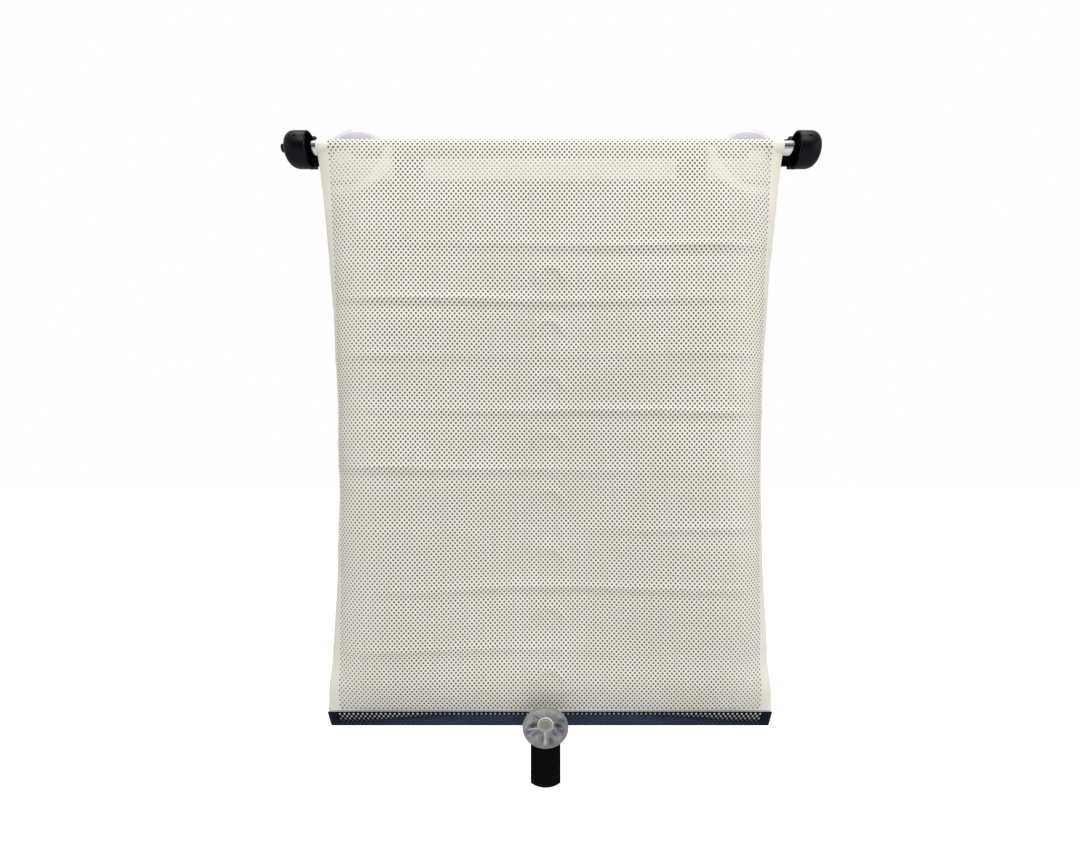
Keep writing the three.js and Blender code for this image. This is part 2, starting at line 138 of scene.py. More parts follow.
def settle(piece):
    """Puts the piece's place into its mesh."""
    pick(piece)
    bpy.ops.object.transform_apply(location=True, rotation=True, scale=True)


def modifier(piece, kind, **settings):
    added = piece.modifiers.new(kind.lower(), kind)
    for key, value in settings.items():
        setattr(added, key, value)
    pick(piece)
    bpy.ops.object.modifier_apply(modifier=added.name)


def smooth(piece, degrees=35):
    pick(piece)
    bpy.ops.object.shade_smooth_by_angle(angle=math.radians(degrees))


def turned(name, profile, axis="X", place=(0, 0, 0), sides=96, loop=False):
    """A turned piece: rings of (along, radius) in millimetres, extruded one from the last.
    A loop joins its last ring to its first; otherwise both ends are filled."""
    deselect()
    rings = [(along, radius) for along, radius in profile if radius > 0]
    along, radius = rings[0]
    bpy.ops.mesh.primitive_circle_add(vertices=sides, radius=radius * MM, location=(0, 0, 0))
    piece = bpy.context.object
    piece.name = name
    bpy.ops.object.mode_set(mode="EDIT")
    bpy.ops.transform.translate(value=(0, 0, along * MM))
    if not loop:
        bpy.ops.mesh.edge_face_add()
    for next_along, next_radius in rings[1:] + (rings[:1] if loop else []):
        step = (0, 0, (next_along - along) * MM)
        ratio = next_radius / radius
        bpy.ops.mesh.extrude_region_move(TRANSFORM_OT_translate={"value": step})
        bpy.ops.transform.resize(value=(ratio, ratio, 1), center_override=(0, 0, 0))
        along, radius = next_along, next_radius
    bpy.ops.mesh.select_all(action="SELECT")
    bpy.ops.mesh.remove_doubles(threshold=1e-6)
    bpy.ops.mesh.normals_make_consistent(inside=False)
    bpy.ops.object.mode_set(mode="OBJECT")
    piece.rotation_euler = {"X": (0, math.pi / 2, 0), "Y": (-math.pi / 2, 0, 0)}[axis]
    piece.location = place
    settle(piece)
    return piece


def arc(centre, radius, start, end, steps):
    angles = np.radians(np.linspace(start, end, steps + 1))
    return [(centre[0] + radius * math.cos(a), centre[1] + radius * math.sin(a)) for a in angles]


def block(name, low, high, bevel, segments=3):
    """A box from low to high in metres, with rounded edges."""
    deselect()
    bpy.ops.mesh.primitive_cube_add(size=1, location=(Vector(low) + Vector(high)) / 2)
    piece = bpy.context.object
    piece.name = name
    piece.scale = Vector(high) - Vector(low)
    settle(piece)
    modifier(piece, "BEVEL", width=bevel, segments=segments, limit_method="ANGLE")
    return piece


def combine(piece, other, operation):
    modifier(piece, "BOOLEAN", object=other, operation=operation, solver="EXACT")
    bpy.data.objects.remove(other)


def mesh_piece(name, points, faces, uvs):
    """A mesh from points in millimetres, with a UV map in metres along the film."""
    mesh = bpy.data.meshes.new(name)
    mesh.from_pydata(points * MM, [], faces)
    piece = bpy.data.objects.new(name, mesh)
    bpy.context.scene.collection.objects.link(piece)
    corners = np.zeros(len(mesh.loops), int)
    mesh.loops.foreach_get("vertex_index", corners)
    layer = mesh.uv_layers.new(name="film")
    layer.data.foreach_set("uv", (uvs[corners] * MM).astype(np.float32).ravel())
    mesh.shade_smooth()
    return piece


# Shader helpers

class Value:
    """A socket in a material's nodes. Sums and products with it add Math nodes."""

    def __init__(self, finish, socket):
        self.finish = finish
        self.socket = socket

    def math(self, operation, *others):
        return self.finish.math(operation, self, *others)

    def __add__(self, other):
        return self.math("ADD", other)

    def __sub__(self, other):
        return self.math("SUBTRACT", other)

    def __rsub__(self, other):
        return self.finish.math("SUBTRACT", other, self)

    def __mul__(self, other):
        return self.math("MULTIPLY", other)

    def __truediv__(self, other):
        return self.math("DIVIDE", other)

    def __lt__(self, other):
        return self.math("LESS_THAN", other)

    def __abs__(self):
        return self.math("ABSOLUTE")

    def fraction(self):
        return self.math("FRACT")

    def root(self):
        return self.math("SQRT")

    def clamped(self):
        return self.math("MAXIMUM", 0).math("MINIMUM", 1)

    def soft_step(self, edge, width):
        """0 below the edge and 1 above it, over a width."""
        return ((self - edge) / width + 0.5).clamped()

    __radd__ = __add__
    __rmul__ = __mul__


class Finish:
    """A material with one Principled shader."""

    def __init__(self, name):
        self.material = bpy.data.materials.new(name)
        self.material.use_nodes = True
        self.nodes = self.material.node_tree.nodes
        self.links = self.material.node_tree.links
        self.shader = self.nodes["Principled BSDF"]

    def put(self, socket, value):
        if isinstance(value, Value):
            self.links.new(value.socket, socket)
        elif socket.type == "RGBA":
            socket.default_value = (*value, 1)
        else:
            socket.default_value = value

    def node(self, kind, settings=(), output=0, **inputs):
        made = self.nodes.new(kind)
        for key, value in dict(settings).items():
            setattr(made, key, value)
        for key, value in inputs.items():
            name = int(key[1:]) if key[1:].isdigit() else key.replace("_", " ")
            self.put(made.inputs[name], value)
        return Value(self, made.outputs[output])

    def math(self, operation, *values):
        inputs = {f"i{i}": value for i, value in enumerate(values)}
        return self.node("ShaderNodeMath", {"operation": operation}, **inputs)

    def place(self):
        """Object coordinates, in metres."""
        return self.node("ShaderNodeTexCoord", output="Object")

    def axes(self, vector):
        split = self.node("ShaderNodeSeparateXYZ", i0=vector).socket.node
        return [Value(self, socket) for socket in split.outputs]

    def along_film(self):
        """The film's own coordinates: across and down, in metres."""
        vector = self.node("ShaderNodeUVMap", {"uv_map": "film"})
        return vector, *self.axes(vector)[:2]

    def noise(self, vector, scale, detail=3, roughness=0.5):
        return self.node(
            "ShaderNodeTexNoise", Vector=vector, Scale=scale, Detail=detail, Roughness=roughness,
        )

    def cells(self, vector, scale):
        return self.node("ShaderNodeTexVoronoi", Vector=vector, Scale=scale)

    def stretched(self, vector, scale):
        return self.node("ShaderNodeVectorMath", {"operation": "MULTIPLY"}, i0=vector, i1=scale)

    def mix(self, share, first, second):
        settings = {"data_type": "RGBA"}
        return self.node("ShaderNodeMix", settings, output=2, i0=share, i6=first, i7=second)

    def bump(self, height, distance, strength=1.0):
        normal = self.node("ShaderNodeBump", Height=height, Distance=distance, Strength=strength)
        self.put(self.shader.inputs["Normal"], normal)

    def set(self, **values):
        for key, value in values.items():
            self.put(self.shader.inputs[key.replace("_", " ")], value)
        return self.material


# Finishes

def vinyl_grain(finish, vector):
    """A fine leather grain: small pebbles and broader pulls."""
    return finish.cells(vector, 1900) * 0.6 + finish.noise(vector, 900, 2) * 0.5


def cream_vinyl():
    finish = Finish("cream_vinyl")
    vector, _, down = finish.along_film()
    streaks = finish.noise(finish.stretched(vector, (3, 28, 1)), 1.0, 3)
    patches = finish.noise(vector, 9, 3)
    tint = (streaks * 0.6 + patches * 0.4).soft_step(0.5, 0.4)
    color = finish.mix(tint, (0.655, 0.625, 0.555), (0.73, 0.70, 0.64))
    clouds = finish.noise(vector, 26, 3).soft_step(0.52, 0.22)
    color = finish.mix(clouds * 0.5, color, (0.66, 0.64, 0.52))
    # Painted shade: the film turns darker over its last few centimetres above the hem.
    low = down.soft_step(DROP * MM - 0.015, 0.040)
    color = finish.mix(low * 0.28, color, (0.30, 0.29, 0.27))
    finish.bump(vinyl_grain(finish, vector), 0.00008, 0.5)
    return finish.set(Base_Color=color, Roughness=0.46 + patches * 0.14)


def hole_mask(across, down):
    """1 inside the staggered holes, from the film's own coordinates."""
    x = across / (HOLE_PITCH * MM)
    y = down / (2 * ROW_STEP * MM)
    masks = []
    for shift_x, shift_y in ((0.0, 0.5), (0.5, 0.0)):
        dx = ((x + shift_x + 0.5).fraction() - 0.5) * HOLE_PITCH
        dy = ((y + shift_y + 0.5).fraction() - 0.5) * 2 * ROW_STEP
        masks.append((dx * dx + dy * dy).root() < HOLE_RADIUS)
    return masks[0].math("MAXIMUM", masks[1])


# What lies behind the film, as seen through its holes, in metres

STRIP_TOP = 0.0125
STRIP_BOTTOM = 0.0305
CLIP_REACH = 0.121  # from the middle to each clip
CLIP_HALF = 0.013
CUP_REACH = 0.178  # from the middle to each top cup
CUP_RISE = 0.0015  # of its rim's middle over the roller
RIM_INSIDE = 0.036
RIM_OUTSIDE = 0.044
KNOB_DEPTH = 0.010
KNOB_RADIUS = 0.009


def lining_with_painted_light():
    """The film's inside, seen through the holes: dark as painted shade behind the film, with
    painted light where pale things lie behind and toward the film's sides.
    """
    finish = Finish("lining_with_painted_light")
    vector, across, down = finish.along_film()
    # Painted light through the holes where the pale strip lies behind, broken at the clips, and at
    # the top cups' knobs and rims.
    strip = down.soft_step(STRIP_TOP, 0.002) - down.soft_step(STRIP_BOTTOM, 0.002)
    from_clip = abs(abs(across) - CLIP_REACH)
    strip = strip * from_clip.soft_step(CLIP_HALF, 0.002)
    side = abs(abs(across) - CUP_REACH)
    depth = down - KNOB_DEPTH
    knob = 1 - (side * side + depth * depth * 4).root().soft_step(KNOB_RADIUS, 0.003)
    below = down + CUP_RISE
    rim = (side * side + below * below).root()
    ring = rim.soft_step(RIM_INSIDE, 0.003) - rim.soft_step(RIM_OUTSIDE, 0.004)
    mottled = finish.noise(vector, 320, 2)
    pale = (strip * 0.62 + knob * 0.85 + ring * 0.7).clamped()
    pale = pale * (mottled.soft_step(0.3, 0.3) * 0.4 + 0.6)
    # More painted light toward the film's sides; elsewhere the lining stays dark, as painted shade.
    edge = abs(across).soft_step(0.165, 0.05)
    color = finish.mix(pale.math("MAXIMUM", edge * 0.3), (0.012, 0.011, 0.010), (0.54, 0.51, 0.46))
    return finish.set(Base_Color=color, Roughness=0.7, Specular_IOR_Level=0.1)


def navy_vinyl():
    finish = Finish("navy_vinyl")
    vector, across, down = finish.along_film()
    holes = hole_mask(across, down)
    inside = abs(across) < HOLES_REACH * MM
    patches = finish.noise(vector, 12, 3)
    cloth = finish.mix(patches, (0.014, 0.019, 0.040), (0.022, 0.029, 0.056))
    # Holes painted on the navy back, pale as painted light seen through them.
    color = finish.mix(holes * inside, cloth, (0.30, 0.29, 0.27))
    height = vinyl_grain(finish, vector) - holes * inside * 3
    finish.bump(height, 0.00010, 0.6)
    return finish.set(Base_Color=color, Roughness=0.5 + patches * 0.12)


def dark_zone(finish, place):
    """Share of shadow on the hem's front: a wide band near its ends, a thin one in its middle."""
    x, _, z = finish.axes(place)
    depth = (hem_high.z - z) / (hem_high.z - hem_low.z)
    reach = abs(x).soft_step(0.125, 0.09) * 0.45 + 0.16
    shade = 1 - (depth - reach).soft_step(0.06, 0.22)
    return shade * (1 - abs(x).soft_step(0.195, 0.006) * 0.7)


def hem_navy():
    """The film's navy back, folded round to the front of the hem."""
    finish = Finish("hem_navy")
    place = finish.place()
    patches = finish.noise(finish.stretched(place, (1, 1, 5)), 30, 3)
    cloth = finish.mix(patches, (0.013, 0.022, 0.044), (0.021, 0.033, 0.062))
    # Painted shade: near black toward the hem's ends, and over the band that dark_zone gives.
    ends = abs(finish.axes(place)[0]).soft_step(0.135, 0.08)
    cloth = finish.mix(ends * 0.85, cloth, (0.002, 0.005, 0.016))
    color = finish.mix(dark_zone(finish, place) * 0.95, cloth, (0.001, 0.002, 0.005))
    finish.bump(vinyl_grain(finish, place), 0.00012, 0.7)
    return finish.set(Base_Color=color, Roughness=0.5 + patches * 0.12, Specular_IOR_Level=0.08)


def hem_inside():
    """What shows through the hem's holes: painted light near its top edge and ends, and navy as
    painted shade elsewhere.
    """
    finish = Finish("hem_inside")
    place = finish.place()
    x, y, z = finish.axes(place)
    depth = (hem_high.z - z) / (hem_high.z - hem_low.z)
    # Painted light on the front, reaching further down toward the ends; below it the navy is
    # painted shade of the bar.
    lit = abs(x).soft_step(0.135, 0.06) * 0.36 + 0.24
    front = y < (hem_low.y + hem_high.y) / 2
    pale = (1 - (depth - lit).soft_step(-0.08, 0.24)) * front
    patches = finish.noise(place, 25, 2)
    navy = finish.mix(patches, (0.010, 0.016, 0.032), (0.016, 0.024, 0.045))
    color = finish.mix(pale, navy, (0.46, 0.46, 0.44))
    finish.bump(vinyl_grain(finish, place), 0.0001, 0.5)
    return finish.set(Base_Color=color, Roughness=0.5, Specular_IOR_Level=0.3)


def moulded_black():
    finish = Finish("moulded_black")
    place = finish.place()
    broad = finish.noise(place, 60, 3)
    fine = finish.noise(place, 2600, 2)
    finish.bump(fine, 0.00004, 0.5)
    color = finish.mix(broad, (0.0005, 0.0008, 0.0022), (0.0012, 0.0019, 0.0042))
    return finish.set(Base_Color=color, Roughness=broad * 0.14 + 0.25, Specular_IOR_Level=0.12)


def strap_black():
    """Woven-back vinyl strap: fine cross ribs under a dull skin."""
    finish = Finish("strap_black")
    place = finish.place()
    x, _, z = finish.axes(place)
    ribs = (z * 1900 * math.pi).math("SINE") * (x * 1500 * math.pi).math("SINE")
    broad = finish.noise(place, 90, 3)
    finish.bump(ribs * 0.5 + finish.noise(place, 1800, 2), 0.00008, 0.5)
    color = finish.mix(broad, (0.0004, 0.0004, 0.0006), (0.0012, 0.0012, 0.0014))
    return finish.set(Base_Color=color, Roughness=0.62 + broad * 0.12, Specular_IOR_Level=0.05)


def bright_chrome():
    finish = Finish("bright_chrome")
    place = finish.place()
    haze = finish.noise(finish.stretched(place, (1, 12, 12)), 60, 3)
    finish.bump(haze, 0.00002, 0.2)
    return finish.set(Base_Color=(0.60, 0.61, 0.63), Metallic=1.0, Roughness=0.05 + haze * 0.08)


def plain_steel():
    finish = Finish("plain_steel")
    place = finish.place()
    brushed = finish.noise(finish.stretched(place, (4, 60, 60)), 40, 3)
    color = finish.mix(brushed, (0.36, 0.37, 0.39), (0.56, 0.57, 0.59))
    finish.bump(brushed, 0.00003, 0.3)
    return finish.set(Base_Color=color, Metallic=1.0, Roughness=0.26 + brushed * 0.15)


def clear_vinyl():
    """Soft clear vinyl of the top cups, lavender grey inside a paler rim."""
    finish = Finish("clear_vinyl")
    place = finish.place()
    x, _, z = finish.axes(place)
    middle = (top_cup_low + top_cup_high) / 2
    aside = abs(x - HARDWARE_X * MM) - abs(middle.x - HARDWARE_X * MM)
    up = z - middle.z
    rim = (aside * aside + up * up).root().soft_step(0.0259, 0.0006)
    ripples = finish.noise(place, 140, 2)
    color = finish.mix(rim, (0.62, 0.60, 0.64), (0.83, 0.79, 0.83))
    finish.bump(ripples, 0.0003, 0.12)
    return finish.set(
        Base_Color=color, Roughness=0.06 + ripples * 0.08,
        Transmission_Weight=0.55, IOR=1.4,
    )


def smoky_vinyl():
    """The hem cup's vinyl: cloudy grey rays that are also a painted radial sheen, painted shade
    beside the hub, a pale streak and a glint as painted highlights, and rings on its hub.
    """
    finish = Finish("smoky_vinyl")
    place = finish.place()
    x, _, z = finish.axes(place)
    across = (x - HEM_CUP[0]) * 1000
    up = (z - HEM_CUP[1]) * 1000
    radius = (across * across + up * up).root()
    turn = up.math("ARCTAN2", across)
    around = finish.node("ShaderNodeCombineXYZ", X=turn, Y=radius * 0.03, Z=0.0)
    rays = finish.noise(around, 3.2, 3, 0.55)
    # Cloudy grey rays, lighter and darker, that also serve as a painted radial sheen.
    tone = finish.mix(rays.soft_step(0.5, 0.35), (0.065, 0.07, 0.085), (0.34, 0.35, 0.38))
    tone = finish.mix(up.soft_step(11, 7) * 0.75, tone, (0.55, 0.53, 0.47))
    # Painted shade left and right of the hub.
    beside = abs(up + 0.4) * 0.34 + abs(abs(across) - 11) * 0.20
    tone = finish.mix((1 - beside.soft_step(1.0, 0.9)) * 0.94, tone, (0.010, 0.012, 0.018))
    # Painted highlights: a pale streak below the hub and a glint to its left.
    streak = (1 - abs(across + 0.4).soft_step(1.0, 1.4)) * (up < -6) * (1 - radius.soft_step(17, 3))
    glint = (1 - abs(up + 3.4).soft_step(0.35, 0.3)) * (1 - abs(across + 11).soft_step(4.4, 2.0))
    tone = finish.mix((streak * 0.5 + glint * 0.8).clamped(), tone, (0.80, 0.81, 0.84))
    rim = radius.soft_step(17.6, 1.6)
    brown = finish.mix(finish.noise(place, 200, 2), (0.14, 0.13, 0.115), (0.32, 0.31, 0.28))
    tone = finish.mix(rim * 0.8, tone, brown)
    hub = 1 - radius.soft_step(7.3, 0.3)
    outer_ring = 1 - abs(radius - 6.8).soft_step(0.35, 0.3)
    inner_ring = 1 - abs(radius - 5.0).soft_step(0.25, 0.3)
    rings = outer_ring + inner_ring * 0.5
    beige = finish.mix(rings.clamped(), (0.24, 0.225, 0.18), (0.90, 0.88, 0.80))
    finish.bump(rays, 0.0004, 0.3)
    return finish.set(
        Base_Color=finish.mix(hub, tone, beige), Roughness=0.10 + rays * 0.12,
        Transmission_Weight=0.22, IOR=1.45,
    )


def pale_plastic():
    finish = Finish("pale_plastic")
    place = finish.place()
    patches = finish.noise(place, 50, 3)
    color = finish.mix(patches, (0.70, 0.69, 0.66), (0.78, 0.77, 0.74))
    finish.bump(finish.noise(place, 1500, 2), 0.00005, 0.4)
    return finish.set(Base_Color=color, Roughness=0.42 + patches * 0.1)


# Film surface

def smoothstep(t):
    x = np.clip(t, 0, 1)
    return x * x * (3 - 2 * x)


def film_angle(s, t):
    """Angle of the cross-section to X, s mm from the middle and t of the way down."""
    bulge = BULGE * np.sin(np.pi * t ** BULGE_POWER)
    wave = np.arctan(bulge * np.pi / 2 / CREST * np.sin(np.pi * s / CREST))
    curl = CURL * np.abs(np.sin(np.pi * t)) ** CURL_FADE
    past = np.clip((s - CREST) / (FILM_WIDTH / 2 - CREST), 0, 1)
    return np.where(s < CREST, wave, -curl * past ** CURL_POWER)


TABLE_S = np.linspace(0, FILM_WIDTH / 2, 401)
TABLE_T = np.linspace(0, 1, 301)
TABLE_ANGLE = film_angle(TABLE_S[:, None], TABLE_T[None, :])


def run_sum(values):
    """Running integral down the columns of a table over TABLE_S."""
    step = TABLE_S[1] - TABLE_S[0]
    areas = (values[1:] + values[:-1]) / 2 * step
    return np.vstack([np.zeros(values.shape[1]), np.cumsum(areas, axis=0)])


TABLE_X = run_sum(np.cos(TABLE_ANGLE))
TABLE_FORWARD = run_sum(np.sin(TABLE_ANGLE))


def looked_up(table, s, t):
    a = np.clip(s / TABLE_S[-1], 0, 1) * (len(TABLE_S) - 1)
    b = np.clip(t, 0, 1) * (len(TABLE_T) - 1)
    i = np.minimum(a.astype(int), len(TABLE_S) - 2)
    j = np.minimum(b.astype(int), len(TABLE_T) - 2)
    u, w = a - i, b - j
    low = table[i, j] * (1 - w) + table[i, j + 1] * w
    high = table[i + 1, j] * (1 - w) + table[i + 1, j + 1] * w
    return low * (1 - u) + high * u


def crease_depth(k):
    """How far down the k-th set line lies: each turn of the roll is longer than the last."""
    return FIRST_CREASE + CREASE_SPACING * k + CREASE_GROWTH * k * k


def relief(s, down):
    """Height of the marks left by the roll, toward the viewer, in millimetres."""
    height = 0.45 * np.sin(s / 71 + down / 37) * np.sin(down / 23 + 1.3 + s / 160)
    height += 0.16 * np.sin(s / 29 + 2.1) * np.sin(down / 11.5 + s / 90)
    fade_start, fade_width = CREASE_FADE
    to_edge = 1 - 0.8 * smoothstep((np.abs(s) - fade_start) / fade_width)
    for k in range(CREASES):
        line = crease_depth(k) + 1.2 * np.sin(s / 83 + 1.7 * k) + 0.5 * np.sin(s / 31 + k)
        away = down - line
        share = (0.62 + 0.38 * np.sin(s / 97 + 2.3 * k)) * to_edge
        ridge = CREASE_RIDGE * np.exp(-(away / 3.4) ** 2)
        valley = CREASE_VALLEY * np.exp(-((away - 8) / 5.0) ** 2)
        height += share * (ridge - valley)
    height -= 0.45 * np.exp(-((s - 186) / 5) ** 2 - ((down - 58) / 8) ** 2)
    height *= smoothstep(down / 12) * smoothstep((DROP - down) / 12)
    above_hem = DROP - down
    return height + 1.9 * np.exp(-((above_hem - 20) / 13) ** 2) * smoothstep(above_hem / 6)


def knob_marks(s, down):
    """Arches below the set lines, pressed in by the hem cup's knob."""
    height = np.zeros_like(s)
    for k in range(CREASES):
        centre = crease_depth(k) + KNOB_DROP
        radius = np.hypot(s + 1.0, down - centre)
        arch = ARCH_HEIGHT * np.exp(-((radius - ARCH_RADIUS) / 3.0) ** 2)
        height += arch * smoothstep((centre + 3 - down) / 6)
    return height


def hanging(s, down, lifted=0.0):
    """Places on the hanging film, s mm across and down mm below the roller, lifted forward."""
    size = np.abs(s)
    side = np.sign(s)
    t = np.clip(down / DROP, 0, 1)
    angle = looked_up(TABLE_ANGLE, size, t) * side
    lift = relief(s, np.maximum(down, 0)) + lifted
    x = looked_up(TABLE_X, size, t) * side - np.sin(angle) * lift
    y = HANG_Y + (HEM_Y - HANG_Y) * smoothstep(t / SETTLES)
    y = y - looked_up(TABLE_FORWARD, size, t) - np.cos(angle) * lift
    wrap = np.maximum(-down, 0) / ROLL_RADIUS
    around = ROLL_RADIUS + ROLL_GAP
    y = y + around * (1 - np.cos(wrap))
    z = np.where(down < 0, around * np.sin(wrap), -down)
    return np.column_stack([x, y, z])


def on_roll(s, down):
    """Places on the roll above the roller's front."""
    angle = -down / ROLL_RADIUS
    y = ROLLER_Y - ROLL_RADIUS * np.cos(angle)
    return np.column_stack([s, y, ROLL_RADIUS * np.sin(angle)])


class Perforated:
    """A sheet of diamond cells, each round a six-sided hole, in staggered rows.
    Row r lies r steps down. Odd rows have one hole more than even ones."""

    def __init__(self, rows, step, closed=False, fill_top=False, half_width=FILM_WIDTH / 2):
        self.points = []
        self.faces = []
        self.step = step
        self.half_width = half_width
        self.closed = closed
        self.rows = rows
        self.corners = {}
        first, last = rows[0], rows[-1]
        lines = range(first, last + 1) if closed else range(first - 1, last + 2)
        for r in lines:
            self.add_corners(r)
        for r in rows:
            self.add_holes(r)
        for side in (0, -1):
            self.add_margin(side, range(first - fill_top, last + (1 if closed else 2)))
        if fill_top:
            self.fill_edge(first - 1, first)
        if not closed:
            self.fill_edge(last + 1, last)

    def point(self, s, down):
        self.points.append((s, down))
        return len(self.points) - 1

    def row_start(self, r):
        """X of the row's first hole, and how many it has."""
        odd = r % 2 == 1
        start = -(HOLES_ACROSS - 1) / 2 * HOLE_PITCH
        return (start, HOLES_ACROSS) if odd else (start + HOLE_PITCH / 2, HOLES_ACROSS - 1)

    def add_corners(self, r):
        start, count = self.row_start(r)
        places = [start + (i - 0.5) * HOLE_PITCH for i in range(count + 1)]
        self.corners[r] = [self.point(s, r * self.step) for s in places]

    def line(self, r):
        if self.closed:
            span = len(self.rows)
            r = self.rows[0] + (r - self.rows[0]) % span
        return self.corners[r]

    def add_holes(self, r):
        start, count = self.row_start(r)
        shift = 0 if r % 2 == 1 else 1
        here, above, below = self.line(r), self.line(r - 1), self.line(r + 1)
        for i in range(count):
            s, down = start + i * HOLE_PITCH, r * self.step
            ring = []
            for k in range(6):
                angle = k * math.pi / 3
                reach = HOLE_RADIUS * math.cos(angle)
                ring.append(self.point(s + reach, down + HOLE_RADIUS * math.sin(angle)))
            left, right = here[i], here[i + 1]
            top, bottom = above[i + shift], below[i + shift]
            self.faces += [
                (right, ring[0], ring[1], bottom),
                (bottom, ring[1], ring[2]),
                (bottom, ring[2], ring[3], left),
                (left, ring[3], ring[4], top),
                (top, ring[4], ring[5]),
                (top, ring[5], ring[0], right),
            ]

    def add_margin(self, side, lines):
        """The plain strip beside the holes, in three columns. side: 0 is left, -1 is right."""
        sign = -1 if side == 0 else 1
        edge = []
        for r in lines:
            down = r * self.step
            inner = self.points[self.corners[r][side]][0]
            outer = sign * self.half_width
            steps = [self.point(inner + (outer - inner) * share, down) for share in MARGIN_STEPS]
            edge.append([self.corners[r][side], *steps])
        if self.closed:
            edge.append(edge[0])
        for high, low in zip(edge, edge[1:]):
            for a in range(3):
                face = (high[a], low[a], low[a + 1], high[a + 1])
                self.faces.append(face if side == -1 else face[::-1])

    def fill_edge(self, outer, inner):
        """Triangles that make the zigzag of cells straight at the sheet's first or last line."""
        line, next_line = self.line(outer), self.line(inner)
        shift = 0 if outer % 2 == 1 else 1
        for i in range(len(line) - 1):
            face = (line[i], line[i + 1], next_line[i + shift])
            self.faces.append(face[::-1] if outer < inner else face)

    def arrays(self):
        return np.array(self.points, float)


# Pieces of film

def make_film(finishes):
    sheet = Perforated(range(0, HOLE_ROWS), ROW_STEP)
    places = sheet.arrays()
    s, v = places.T
    front = mesh_piece("film_front", hanging(s, v, knob_marks(s, v)), sheet.faces, places)
    front.data.materials.append(finishes["cream"])

    across = np.linspace(-FILM_WIDTH / 2, FILM_WIDTH / 2, 161)
    down = np.linspace(BACK_TOP, DROP, 201)
    s, v = (grid.ravel() for grid in np.meshgrid(across, down))
    wide = len(across)
    faces = [
        (j * wide + i, j * wide + i + 1, (j + 1) * wide + i + 1, (j + 1) * wide + i)
        for j in range(len(down) - 1) for i in range(wide - 1)
    ]
    faces = [face[::-1] for face in faces]
    back = mesh_piece("film_back", hanging(s, v, -BACK_INSET), faces, np.column_stack([s, v]))
    # The lining, with its painted shade and painted light, shows through the front sheet's holes;
    # navy is the film's back and cream its edge.
    for key in ("lining", "navy", "cream"):
        back.data.materials.append(finishes[key])
    modifier(
        back, "SOLIDIFY", thickness=FILM_THICKNESS * MM, offset=-1,
        material_offset=1, material_offset_rim=2,
    )

    length = math.hypot(DROP, HEM_Y - HANG_Y) * MM
    for piece in (front, back):
        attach(piece, "frame")
        1 - TRAVEL / length
        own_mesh(piece)
    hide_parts("shade_film")


def make_roll(finishes):
    """The film's outer turn on the tube, with its holes."""
    count = 2 * round(math.pi * ROLL_RADIUS / ROW_STEP)
    step = 2 * math.pi * ROLL_RADIUS / count
    sheet = Perforated(range(-count, 0), step, closed=True)
    places = sheet.arrays()
    roll = mesh_piece("film_roll", on_roll(places[:, 0], places[:, 1]), sheet.faces, places)
    roll.data.materials.append(finishes["cream"])
    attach(roll, "roller")


def make_hem(finishes):
    """The fold round the bar, with slanted ends, and its perforated front."""
    fold = block("hem_fold", hem_low, hem_high, 0.0012, 5)
    height = hem_high.z - hem_low.z
    for vertex in fold.data.vertices:
        share = (hem_high.z - vertex.co.z) / height
        vertex.co.x *= 1 - share * HEM_SLANT / hem_high.x
    smooth(fold)
    fold.data.materials.append(finishes["hem_inside"])
    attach(fold, "hem")
    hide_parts("hem_sleeve")

    front = hem_low.y / MM - 0.10
    top = -hem_high.z / MM - 0.3
    rows = range(1, 6)
    step = (-hem_low.z / MM - 0.6 - top) / (len(rows) + 1)
    sheet = Perforated(rows, step, fill_top=True, half_width=hem_high.x / MM)
    places = sheet.arrays()
    share = places[:, 1] / (step * (len(rows) + 1))
    ripple = 0.10 * np.sin(places[:, 0] / 17) + 0.06 * np.sin(places[:, 0] / 5.3 + 1)
    x = places[:, 0] * (1 - share * HEM_SLANT / hem_high.x)
    y = front - 0.25 * np.sin(np.pi * share) - ripple * np.sin(np.pi * share)
    points = np.column_stack([x, y, -(top + places[:, 1])])
    flap = mesh_piece("hem_flap", points, sheet.faces, places)
    flap.data.materials.append(finishes["hem"])
    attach(flap, "hem")


# Roller and end caps

CAP_RADIUS = 15.0
CAP_WALL = 1.8
CAP_ROUND = 9.0
CAP_DROP = 1.5
TUBE_WALL = 0.5
SOCKET_LENGTH = 8.0  # block that holds the rail's end
SOCKET_DEPTH = 6.5
SOCKET_WALLS = (2.1, 2.0, 1.8)  # in front of the rail, behind it, and above and below
SOCKET_GAP = 0.3
PIP_RADIUS = 1.1
PIP_INSET = 11.8  # from the cap's outer face
PIP_TURN = math.radians(20.6)  # above the cap's front
STRIP_INSET = 0.0045  # of the pale strip's ends, in metres


def make_tube(finishes):
    radius = (tube_high.z - tube_low.z) / 2 / MM
    start, end = tube_low.x / MM, tube_high.x / MM
    inner = radius - TUBE_WALL
    profile = [
        (start, inner), (start, radius - 0.15), (start + 0.15, radius),
        (end - 0.15, radius), (end, radius - 0.15), (end, inner),
    ]
    tube = turned("chrome_tube", profile, place=(0, ROLLER_Y * MM, 0), loop=True)
    smooth(tube)
    tube.data.materials.append(finishes["chrome"])
    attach(tube, "roller")
    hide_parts("roller_tube")


